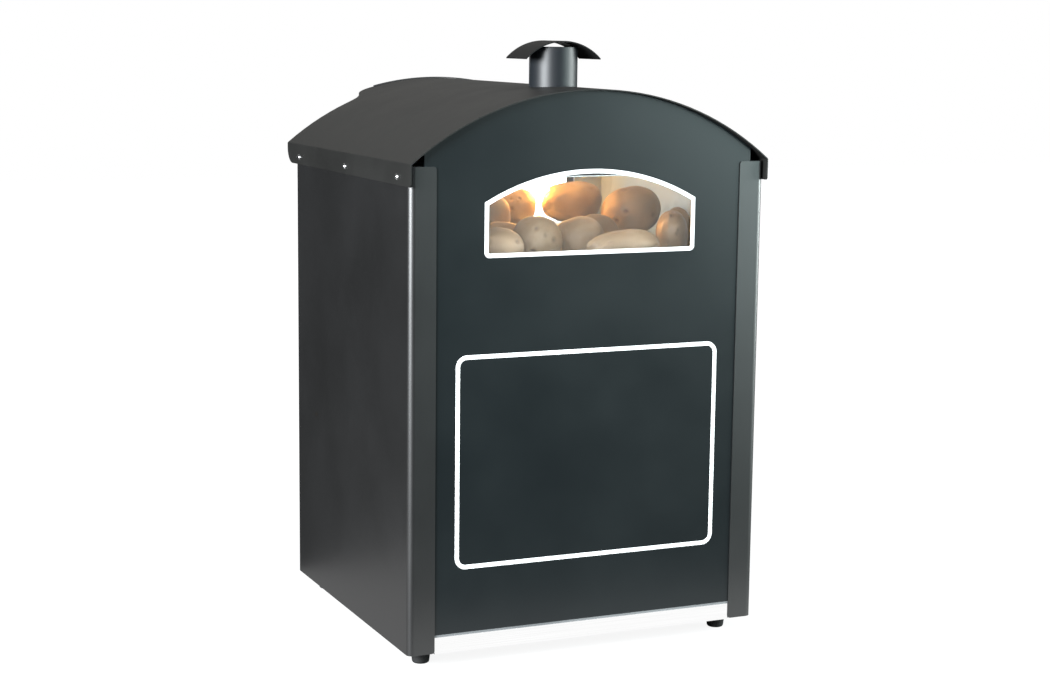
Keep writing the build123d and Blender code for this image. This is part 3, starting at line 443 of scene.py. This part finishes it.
mirror_steel = brushed_sheet("mirror_steel", polished_tint, (0.03, 0.08), 0, 0.02)
paint(nodes["plinth_strip"], mirror_steel)
strip_grey = sprayed_coat("strip_grey", strip_dark, strip_light, 900.0, (0.35, 0.5), 0.5, 0.1, 0.0002)
paint(nodes["panel_bottom_trim"], strip_grey)


# ---------------------------------------------------------------- Front panel
# One smooth dark plate, arched under the roof. The two white borders are printed on it.
panel_dark = (0.0040, 0.0062, 0.0072, 1)
panel_light = (0.0050, 0.0076, 0.0086, 1)
print_white = (0.93, 0.94, 0.94, 1)
print_cream = (0.88, 0.89, 0.89, 1)

panel_gloss = sprayed_coat(
    "panel_gloss", panel_dark, panel_light, 130.0, (0.31, 0.36), 0.42, 0.03, 0.0002
)
paint(nodes["front_panel"], panel_gloss)
print_ink = sprayed_coat("print_ink", print_cream, print_white, 1400.0, (0.42, 0.5), 0.4, 0.1, 0.0001)
paint(nodes["white_outlines"], print_ink)


# ---------------------------------------------------------------- Window and door glass
# Clear float glass, which lets a share of the lamps' light through to what is behind it.
glass_tint = (0.97, 0.985, 0.98, 1)
glass_index = 1.45
film_scale = 14.0
film_haze = 0.035
light_let_through = (0.21, 0.215, 0.225, 1)


def clear_glass():
    """Clear glass with a faint film that varies its gloss."""
    material, tree, skin = start_material("clear_glass")
    skin.inputs["Base Color"].default_value = glass_tint
    skin.inputs["Transmission Weight"].default_value = 1.0
    skin.inputs["IOR"].default_value = glass_index
    film = noise_value(tree, place(tree), film_scale, 5.0)
    tree.links.new(spread(tree, film, 0.0, film_haze), skin.inputs["Roughness"])
    clear = tree.nodes.new("ShaderNodeBsdfTransparent")
    clear.inputs["Color"].default_value = light_let_through
    shadow = tree.nodes.new("ShaderNodeLightPath").outputs["Is Shadow Ray"]
    surface = mix_shaders(tree, shadow, skin.outputs[0], clear.outputs[0])
    tree.links.new(surface, tree.nodes["Material Output"].inputs["Surface"])
    return material


glass = clear_glass()
for name in ("window_pane", "display_door_glass"):
    paint(nodes[name], glass)


# ---------------------------------------------------------------- Roof
# One textured sheet rolled to the arch. Its front edge overhangs the panel, and its rear
# edge runs out to a hood over the doors.
roof_dark = (0.0046, 0.0046, 0.0042, 1)
roof_light = (0.0070, 0.0070, 0.0063, 1)

roof_paint = sprayed_coat("roof_paint", roof_dark, roof_light, 950.0, (0.5, 0.6), 0.36, 0.15, 0.0003)
paint(nodes["roof"], roof_paint)
break_edges(nodes["roof"])


# ---------------------------------------------------------------- Chimney
# Rolled pipe, saddle-cut to the roof, in a smooth blue-black paint. A curved sheet makes its
# hat, in a duller black.
pipe_dark = (0.0050, 0.0062, 0.0078, 1)
pipe_light = (0.0080, 0.0097, 0.0120, 1)
hat_dark = (0.003, 0.003, 0.003, 1)
hat_light = (0.005, 0.005, 0.005, 1)

chimney_paint = sprayed_coat(
    "chimney_paint", pipe_dark, pipe_light, 1200.0, (0.40, 0.48), 0.34, 0.15, 0.0003
)
paint(nodes["chimney_pipe"], chimney_paint)
hat_paint = sprayed_coat("hat_paint", hat_dark, hat_light, 1000.0, (0.52, 0.62), 0.14, 0.15, 0.0003)
paint(nodes["chimney_hat"], hat_paint)


# ---------------------------------------------------------------- Display interior
# White enamelled sheet all round, so that the lamp's light reaches the potatoes from
# every side.
enamel_dark = (0.60, 0.69, 0.71, 1)
enamel_light = (0.68, 0.77, 0.79, 1)

display_sheet = sprayed_coat(
    "white_enamel", enamel_dark, enamel_light, 260.0, (0.22, 0.34), 0.5, 0.05, 0.0002
)
for name in ("display_liner", "display_floor", "display_rack"):
    paint(nodes[name], display_sheet)


# ---------------------------------------------------------------- Display lamp
# Porcelain socket in the ceiling, with a small warm bulb over the rear rows. A weak lamp
# under the ceiling adds what enters by the window.
porcelain_dark = (0.70, 0.67, 0.60, 1)
porcelain_light = (0.80, 0.78, 0.72, 1)
glow_red = (1.0, 0.42, 0.10, 1)
glow_yellow = (1.0, 0.62, 0.26, 1)
bulb_warm = (1.0, 0.45, 0.10)
bulb_strength = 6.0
lamp_power = 2.5
lamp_radius = 0.014
lamp_forward = 0.013
lamp_drop = 0.006
fill_place = (0.02, -0.05, 0.620)
fill_size = (0.34, 0.28)
fill_power = 0.085
fill_colour = (1.0, 0.95, 0.95)

glaze = sprayed_coat(
    "porcelain", porcelain_dark, porcelain_light, 300.0, (0.12, 0.2), 0.5, 0.05, 0.0002
)
paint(nodes["lamp_holder"], glaze)


def glowing_bulb():
    """Frosted bulb, lit, with a mottled glow."""
    material, tree, skin = start_material("glowing_bulb")
    frost = noise_value(tree, place(tree), 60.0)
    glow = blend_colours(tree, frost, glow_red, glow_yellow)
    tree.links.new(glow, skin.inputs["Emission Color"])
    tree.links.new(glow, skin.inputs["Base Color"])
    skin.inputs["Emission Strength"].default_value = bulb_strength
    skin.inputs["Roughness"].default_value = 0.3
    return material


paint(nodes["lamp_bulb"], glowing_bulb())
bulb_low, bulb_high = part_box("lamp_bulb")
bulb_middle = (Vector(bulb_low) + Vector(bulb_high)) / 2
lamp_place = (bulb_middle.x, bulb_middle.y - lamp_forward, bulb_low[2] - lamp_drop)
bpy.ops.object.light_add(type="POINT", location=lamp_place)
lamp = bpy.context.object
lamp.name = "display_lamp"
lamp.data.color = bulb_warm
lamp.data.energy = lamp_power
lamp.data.shadow_soft_size = lamp_radius
bpy.ops.object.light_add(type="AREA", location=fill_place)
fill = bpy.context.object
fill.name = "display_fill"
fill.data.shape = "RECTANGLE"
fill.data.size = fill_size[0]
fill.data.size_y = fill_size[1]
fill.data.energy = fill_power
fill.data.color = fill_colour


# ---------------------------------------------------------------- Potatoes
# Washed baking potatoes, each a little different: lumpy ovals with shallow eyes, resting
# on the display floor and on the stepped rack behind.
skin_pale = (0.33, 0.232, 0.146, 1)
skin_tan = (0.205, 0.132, 0.072, 1)
skin_brown = (0.11, 0.062, 0.028, 1)
eye_brown = (0.10, 0.055, 0.030, 1)
display_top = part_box("display_floor")[1][2]
front_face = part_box("side_panel_left")[0][1]
potato_places = [
    (-172, 86, 0, 42, 29, 30, 75, 0),
    (-112, 46, 0, 34, 27, 28, 10, 0),
    (-38, 94, 0, 40, 28, 32, 30, 0),
    (33, 114, 0, 34, 29, 30, -8, 0),
    (67, 46, 0, 54, 24, 24, 6, 0),
    (171, 106, 0, 30, 22, 32, 68, 0),
    (-62, 154, 0, 34, 19, 26, 10, 0),
    (86, 160, 0, 33, 15, 29, 5, 0),
    (208, 158, 0, 26, 17, 32, 85, 0),
    (-146, 208, 20, 42, 30, 30, 15, 0),
    (-57, 208, 20, 34, 27, 32, 40, 0),
    (162, 209, 20, 46, 34, 34, 18, -12),
    (-78, 282, 35, 42, 30, 28, 15, 0),
    (17, 280, 35, 30, 26, 25, 40, 0),
    (100, 282, 35, 50, 31, 29, 18, 0),
]
mm = 0.001
rest_gap = 0.0001
eyes_each = 11
eye_rim = 1.7
bluntness = 2.25
draw = random.Random(7)


def lumpy(mesh, half, seed):
    """Shapes a unit ball into a potato of those half sizes: taper, lumps and dented eyes."""
    shift = Vector((seed * 3.7, seed * 1.9, seed * 5.3))
    taper = draw.uniform(-0.14, 0.14)
    sag = draw.uniform(-0.10, 0.10)
    eyes = []
    for _ in range(eyes_each):
        eye = Vector((draw.uniform(-1.2, 1.2), draw.uniform(-1, 1), draw.uniform(-1, 1)))
        eyes.append((eye.normalized(), draw.uniform(0.09, 0.15), draw.uniform(0.035, 0.06)))
    mark = mesh.attributes.new("eye", "FLOAT", "POINT")
    for index, vertex in enumerate(mesh.vertices):
        ray = vertex.co.normalized()
        lump = noise.noise(ray * 1.1 + shift) * 0.5 + 0.5
        ripple = noise.noise(ray * 2.8 + shift) * 0.5 + 0.5
        size = 1.0 - 0.13 * lump - 0.05 * ripple
        dent = 0.0
        for eye, reach, depth in eyes:
            away = (ray - eye).length / reach
            if away < 1:
                dent = max(dent, (1 - away * away) ** 2)
                size -= depth * (1 - away * away) ** 2
            elif away < eye_rim:
                size += depth * 0.25 * sin((away - 1) / (eye_rim - 1) * pi)
        mark.data[index].value = dent
        round_half = 1.0 + taper * ray.x - abs(taper)
        drop = sag * (ray.x**2 - 0.5)
        blunt = sum(abs(c) ** bluntness for c in ray) ** (-1 / bluntness)
        vertex.co = Vector((ray.x, ray.y * round_half, ray.z * round_half)) * size * blunt
        vertex.co.z += drop
    for axis in range(3):
        low = min(v.co[axis] for v in mesh.vertices)
        high = max(v.co[axis] for v in mesh.vertices)
        for vertex in mesh.vertices:
            vertex.co[axis] = half[axis] * (2 * (vertex.co[axis] - low) / (high - low) - 1)


def colour_over(tree, under, mask, colour):
    """A colour laid over what is under it, as far as the mask says."""
    mix = tree.nodes.new("ShaderNodeMix")
    mix.data_type = "RGBA"
    mix.inputs[7].default_value = colour
    tree.links.new(mask, mix.inputs["Factor"])
    tree.links.new(under, mix.inputs[6])
    return mix.outputs[2]


def potato_skin():
    """Thin washed skin: pale and tan patches, russet flecks, brown eyes, fine netting."""
    material, tree, skin = start_material("potato_skin")
    where = place(tree)
    patches = noise_value(tree, where, 30.0, 7.0, 0.65)
    grime = noise_value(tree, where, 62.0, 5.0)
    net = noise_value(tree, where, 380.0, 4.0)
    ground = blend_colours(tree, spread(tree, patches, 0.0, 1.0), skin_pale, skin_tan)
    flecks = tree.nodes.new("ShaderNodeTexVoronoi")
    flecks.inputs["Scale"].default_value = 170.0
    tree.links.new(where, flecks.inputs["Vector"])
    spot = map_range(tree, flecks.outputs["Distance"], 1.0, 0.0, 0.06, 0.24)
    fleck_here = calculate(tree, "MULTIPLY", spot, spread(tree, grime, -0.3, 1.0))
    fleck_here.node.use_clamp = True
    speckled = colour_over(tree, ground, fleck_here, skin_brown)
    eye = tree.nodes.new("ShaderNodeAttribute")
    eye.attribute_name = "eye"
    eyed = colour_over(tree, speckled, eye.outputs["Fac"], eye_brown)
    tree.links.new(eyed, skin.inputs["Base Color"])
    tree.links.new(spread(tree, grime, 0.34, 0.52), skin.inputs["Roughness"])
    skin.inputs["Specular IOR Level"].default_value = 0.45
    raise_surface(tree, skin, net, 0.4, 0.0007)
    return material


washed_skin = potato_skin()
potato_objects = []
for number, spec in enumerate(potato_places):
    x, behind, raised, half_long, half_wide, half_high, turn, tilt = spec
    half = (half_long * mm, half_wide * mm, half_high * mm)
    bpy.ops.mesh.primitive_ico_sphere_add(subdivisions=5, radius=1.0)
    ball = bpy.context.object
    lumpy(ball.data, half, number)
    spin = Euler((0, 0, radians(turn))).to_matrix() @ Euler((0, radians(tilt), 0)).to_matrix()
    ball.data.transform(spin.to_4x4())
    lowest = min(v.co.z for v in ball.data.vertices)
    rise = display_top + raised * mm + rest_gap - lowest
    ball.data.transform(Matrix.Translation((x * mm, front_face + behind * mm, rise)))
    for face in ball.data.polygons:
        face.use_smooth = True
    paint(ball, washed_skin)
    potato_objects.append(ball)

bpy.ops.object.select_all(action="DESELECT")
for ball in potato_objects:
    ball.select_set(True)
bpy.context.view_layer.objects.active = potato_objects[0]
bpy.ops.object.join()
potatoes = bpy.context.object
potatoes.name = "potatoes"
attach(potatoes, "cabinet")
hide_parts("display_potatoes")
bpy.ops.object.select_all(action="DESELECT")


# ---------------------------------------------------------------- Oven
# Stainless box in mineral wool, with folded runners, plated wire shelves and two
# oxidised tubular elements.
oven_tint = (0.55, 0.53, 0.50, 1)
shelf_tint = (0.78, 0.78, 0.77, 1)
element_tint = (0.16, 0.13, 0.12, 1)
wool_brown = (0.33, 0.25, 0.11, 1)
wool_yellow = (0.58, 0.49, 0.28, 1)
fibre_scale = (90, 700, 500)

oven_sheet = brushed_sheet("oven_sheet", oven_tint, (0.28, 0.45), 1, 0.08)
for name in ("oven_liner", "shelf_runner_left", "shelf_runner_right", "oven_door_liner"):
    paint(nodes[name], oven_sheet)
shelf_plate = bright_plate("shelf_plate", shelf_tint, (0.15, 0.3))
for name in ("wire_shelf_lower", "wire_shelf_middle", "wire_shelf_upper"):
    paint(nodes[name], shelf_plate)
element_sheath = bright_plate("element_sheath", element_tint, (0.45, 0.65))
paint(nodes["heating_elements"], element_sheath)


def wool():
    """Compressed mineral wool: yellow-brown fibres."""
    material, tree, skin = start_material("mineral_wool")
    stretch = tree.nodes.new("ShaderNodeMapping")
    stretch.inputs["Scale"].default_value = fibre_scale
    tree.links.new(place(tree), stretch.inputs["Vector"])
    fibres = noise_value(tree, stretch.outputs["Vector"], 1.0, 8.0)
    colour = blend_colours(tree, spread(tree, fibres, 0, 1), wool_brown, wool_yellow)
    tree.links.new(colour, skin.inputs["Base Color"])
    skin.inputs["Roughness"].default_value = 0.95
    raise_surface(tree, skin, fibres, 0.8, 0.002)
    return material


mineral_wool = wool()
for name in ("oven_insulation", "oven_door_insulation"):
    paint(nodes[name], mineral_wool)


# ---------------------------------------------------------------- Rear face and controls
# Brushed stainless plates with black moulded controls and two amber pilot lamps. Dial ticks,
# pointer lines and the rockers' on and off signs are printed.
control_height = 0.068
knob_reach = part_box("thermostat_knob")[1][1]
dials = {
    "thermostat_knob": (-0.140, 10, radians(270)),
    "timer_knob": (-0.070, 12, radians(300)),
}
rockers = {"oven_rocker": 0.005, "light_rocker": 0.045}
dial_ring = (0.0212, 0.0242)
tick_half = 0.0004
pointer_out = 0.011
pointer_half = (0.0007, 0.0060)
sign_depth = 0.18
sign_off = 0.0055
bar_half = (0.0004, 0.0018)
ring_radius = 0.0016
ring_line = 0.0003
steel_tint = (0.60, 0.60, 0.59, 1)
steel_rough = (0.28, 0.36)
moulding_dark = (0.010, 0.010, 0.011, 1)
moulding_light = (0.017, 0.017, 0.018, 1)
amber_dark = (0.70, 0.16, 0.02, 1)
amber_light = (0.85, 0.26, 0.04, 1)
ink_black = (0.01, 0.01, 0.01, 1)
ink_white = (0.80, 0.80, 0.78, 1)


def offset_from(tree, centre):
    """X and Z of the surface point, and its distance, from a centre on the rear face."""
    away = tree.nodes.new("ShaderNodeVectorMath")
    away.operation = "SUBTRACT"
    away.inputs[1].default_value = centre
    tree.links.new(place(tree), away.inputs[0])
    parts = tree.nodes.new("ShaderNodeSeparateXYZ")
    tree.links.new(away.outputs[0], parts.inputs[0])
    across, depth, up = parts.outputs
    squares = [calculate(tree, "POWER", side, 2.0) for side in (across, up)]
    return across, depth, up, calculate(tree, "SQRT", calculate(tree, "ADD", *squares))


def all_of(tree, *masks):
    """A mask that is 1 where all the masks are."""
    both = masks[0]
    for mask in masks[1:]:
        both = calculate(tree, "MULTIPLY", both, mask)
    return both


def dial_ticks(tree, x, step, sweep):
    """Ticks every step round a dial, from the top as far as sweep, as a mask."""
    across, _, up, reach = offset_from(tree, (x, 0, control_height))
    turned = calculate(tree, "ARCTAN2", across, up)
    angle = calculate(tree, "WRAP", turned, 2 * pi - step / 2, -step / 2)
    nearest = calculate(tree, "ROUND", calculate(tree, "DIVIDE", angle, step))
    off = calculate(tree, "SUBTRACT", angle, calculate(tree, "MULTIPLY", nearest, step))
    arc = calculate(tree, "MULTIPLY", calculate(tree, "ABSOLUTE", off), reach)
    return all_of(
        tree,
        calculate(tree, "LESS_THAN", arc, tick_half),
        calculate(tree, "GREATER_THAN", reach, dial_ring[0]),
        calculate(tree, "LESS_THAN", reach, dial_ring[1]),
        calculate(tree, "LESS_THAN", angle, sweep + step / 2),
    )


def bar_mask(tree, centre, half):
    """A small upright bar on a face that looks to the rear, as a mask."""
    across, depth, up, _ = offset_from(tree, centre)
    return all_of(
        tree,
        calculate(tree, "LESS_THAN", calculate(tree, "ABSOLUTE", across), half[0]),
        calculate(tree, "LESS_THAN", calculate(tree, "ABSOLUTE", up), half[1]),
        calculate(tree, "GREATER_THAN", depth, 0.0),
    )


def ring_mask(tree, centre, middle, half_line):
    """A small ring, as a mask."""
    _, _, _, reach = offset_from(tree, centre)
    off = calculate(tree, "ABSOLUTE", calculate(tree, "SUBTRACT", reach, middle))
    return calculate(tree, "LESS_THAN", off, half_line)


def print_over(material, mask, ink):
    """Prints ink over a material's own colour where the mask is 1."""
    tree = material.node_tree
    colour = tree.nodes["Principled BSDF"].inputs["Base Color"]
    printed = colour_over(tree, colour.links[0].from_socket, mask, ink)
    tree.links.new(printed, colour)


rear_sheet = brushed_sheet("rear_sheet", steel_tint, steel_rough, 0, 0.03)
for name in ("rear_frame", "hinge_leaves", "oven_door_hinges", "display_door_hinges"):
    paint(nodes[name], rear_sheet)
control_sheet = brushed_sheet("control_sheet", steel_tint, steel_rough, 0, 0.03)
for x, steps, sweep in dials.values():
    ticks = dial_ticks(control_sheet.node_tree, x, sweep / steps, sweep)
    print_over(control_sheet, ticks, ink_black)
paint(nodes["control_panel"], control_sheet)


def black_moulding(name):
    """Black moulded plastic with a fine spark-eroded grain."""
    return sprayed_coat(name, moulding_dark, moulding_light, 700.0, (0.32, 0.45), 0.5, 0.1, 0.0002)


plain_moulding = black_moulding("plain_moulding")
for name in (
    "thermostat_body",
    "timer_body",
    "rocker_housings",
    "cable_gland",
    "door_magnets",
    "oven_door_handle",
    "display_door_handle",
):
    paint(nodes[name], plain_moulding)
for name, (x, _, _) in dials.items():
    knob_moulding = black_moulding(name + "_moulding")
    pointer = (x, knob_reach - 0.002, control_height + pointer_out)
    line = bar_mask(knob_moulding.node_tree, pointer, pointer_half)
    print_over(knob_moulding, line, ink_white)
    paint(nodes[name], knob_moulding)
for name, x in rockers.items():
    rocker_moulding = black_moulding(name + "_moulding")
    tree = rocker_moulding.node_tree
    on_sign = bar_mask(tree, (x, sign_depth, control_height + sign_off), bar_half)
    off_sign = ring_mask(tree, (x, sign_depth, control_height - sign_off), ring_radius, ring_line)
    print_over(rocker_moulding, on_sign, ink_white)
    print_over(rocker_moulding, off_sign, ink_white)
    paint(nodes[name], rocker_moulding)
amber = sprayed_coat("amber_lens", amber_dark, amber_light, 200.0, (0.10, 0.18), 0.5, 0.05, 0.0002)
paint(nodes["indicator_lamps"], amber)


# ---------------------------------------------------------------- Doors
# The oven door's outer pan and the display door's frame are coated as the casing is. Red
# silicone seals close them on the rear face.
seal_dark = (0.22, 0.045, 0.028, 1)
seal_light = (0.30, 0.065, 0.04, 1)

for name in ("oven_door_skin", "display_door_frame"):
    paint(nodes[name], casing_paint)
silicone = sprayed_coat("red_silicone", seal_dark, seal_light, 900.0, (0.5, 0.65), 0.4, 0.2, 0.0003)
for name in ("oven_door_seal", "display_door_seal"):
    paint(nodes[name], silicone)
